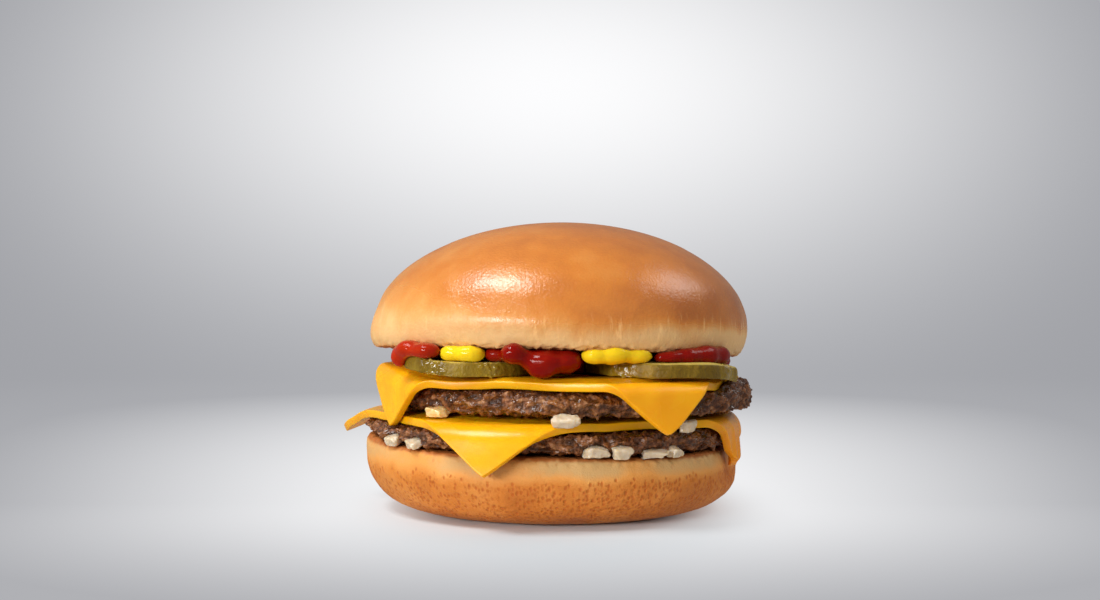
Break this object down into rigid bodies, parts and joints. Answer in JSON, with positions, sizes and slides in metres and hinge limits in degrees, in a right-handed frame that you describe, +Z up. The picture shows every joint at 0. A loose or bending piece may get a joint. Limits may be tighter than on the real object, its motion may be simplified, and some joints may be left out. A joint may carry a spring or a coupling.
{
  "type": "double cheeseburger",
  "caption": "Cheeseburger on a round soft bun: beef patties and melting cheese slices in layers, with pickle slices, ketchup, mustard and chopped onion.",
  "frame": {"origin": "on the flat foot of the bottom bun, under the middle of the burger", "axes": "+Z up through the layers; the front, where the pickles and most of the sauce show, faces -Y"},
  "size_m": [0.1111, 0.1059, 0.0757],
  "materials": {
    "crust": "soft satin bread crust",
    "beef": "rough, moist and craggy",
    "cheese": "smooth, softly glossy",
    "pickle": "wet",
    "ketchup": "wet and glossy",
    "mustard": "wet and glossy",
    "onion": "moist, slightly clear"
  },
  "bodies": {
    "root": {"bun_heel": "crust", "bun_crown": "crust", "patty_lower": "beef", "patty_upper": "beef", "cheese_lower": "cheese", "cheese_upper": "cheese", "pickle_left": "pickle", "pickle_right": "pickle", "mustard_left": "mustard", "mustard_right": "mustard", "mustard_back": "mustard", "ketchup": "ketchup", "onion_heel_1": "onion", "onion_heel_2": "onion", "onion_heel_3": "onion", "onion_heel_4": "onion", "onion_heel_5": "onion", "onion_heel_6": "onion", "onion_heel_7": "onion", "onion_heel_8": "onion", "onion_heel_9": "onion", "onion_heel_10": "onion", "onion_heel_11": "onion", "onion_heel_12": "onion", "onion_cheese_1": "onion", "onion_cheese_2": "onion", "onion_cheese_3": "onion", "onion_cheese_4": "onion", "onion_cheese_5": "onion"}
  },
  "joints": []
}
